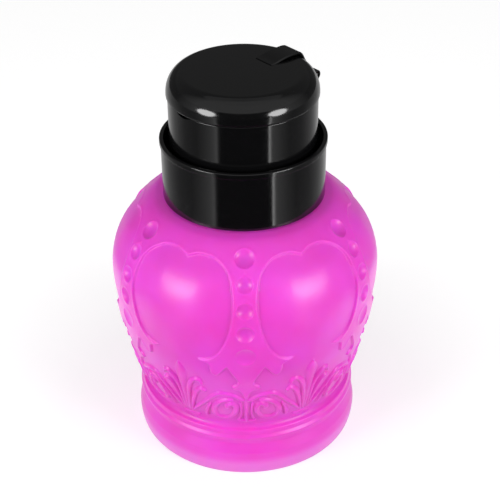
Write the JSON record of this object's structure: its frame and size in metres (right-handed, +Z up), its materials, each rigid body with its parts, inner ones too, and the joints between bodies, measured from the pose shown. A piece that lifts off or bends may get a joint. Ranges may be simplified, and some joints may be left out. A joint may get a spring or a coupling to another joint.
{
  "type": "nail polish remover pump",
  "caption": "Push-down dispenser pump with a flip lid over its dish, on a waisted crown-ornament bottle with a screw collar.",
  "frame": {"origin": "centre of the bottle's base, on the surface that it stands on", "axes": "+Z up along the bottle's axis; the lid's hinge lies 40 degrees from +X towards +Y"},
  "size_m": [0.0764, 0.0764, 0.1142],
  "materials": {
    "bottle_pink": "semi-gloss, slightly translucent",
    "head_black": "gloss",
    "pump_natural": "natural, satin",
    "seal_soft": "matt",
    "bright_steel": "bright"
  },
  "bodies": {
    "bottle": {"bottle": "bottle_pink"},
    "pump_core": {"pump_housing": "pump_natural", "dip_tube": "pump_natural", "neck_gasket": "seal_soft", "ball_cage": "pump_natural", "return_spring": "bright_steel", "chaplet": "pump_natural", "stem_seal": "seal_soft"},
    "collar": {"collar": "head_black"},
    "plunger": {"stem": "pump_natural", "piston": "seal_soft", "piston_retainer": "pump_natural"},
    "head": {"actuator": "head_black", "dish_tray": "head_black", "nozzle_cap": "head_black", "hinge_pin": "bright_steel"},
    "lid": {"lid": "head_black", "lid_seal": "seal_soft"},
    "inlet_valve": {"inlet_ball": "bright_steel"},
    "outlet_valve": {"outlet_ball": "bright_steel"}
  },
  "joints": [
    {"name": "pump_lift", "type": "slide", "parent": "bottle", "child": "pump_core", "axis": [0, 0, 1], "range_m": [0, 0.0061]},
    {"name": "collar_turn", "type": "hinge", "parent": "pump_core", "child": "collar", "pos_m": [0, 0, 0.085], "axis": [0, 0, 1], "range_deg": [0, 540]},
    {"name": "press", "type": "slide", "parent": "pump_core", "child": "plunger", "axis": [0, 0, -1], "range_m": [0, 0.007], "stiffness_N_per_m": 700, "springref_m": -0.005, "deforming": ["return_spring"]},
    {"name": "head_turn", "type": "hinge", "parent": "plunger", "child": "head", "pos_m": [0, 0, 0.1], "axis": [0, 0, 1], "continuous": true},
    {"name": "lid_hinge", "type": "hinge", "parent": "head", "child": "lid", "pos_m": [0.01547, 0.01298, 0.1079], "axis": [-0.6428, 0.766, 0], "range_deg": [0, 115]},
    {"name": "inlet_lift", "type": "slide", "parent": "pump_core", "child": "inlet_valve", "axis": [0, 0, 1], "range_m": [0, 0.001]},
    {"name": "outlet_lift", "type": "slide", "parent": "plunger", "child": "outlet_valve", "axis": [0, 0, 1], "range_m": [0, 0.0006]}
  ],
  "couplings": [
    {"joint": "pump_lift", "follows": "collar_turn", "m_per_rad": 0.00063662}
  ]
}
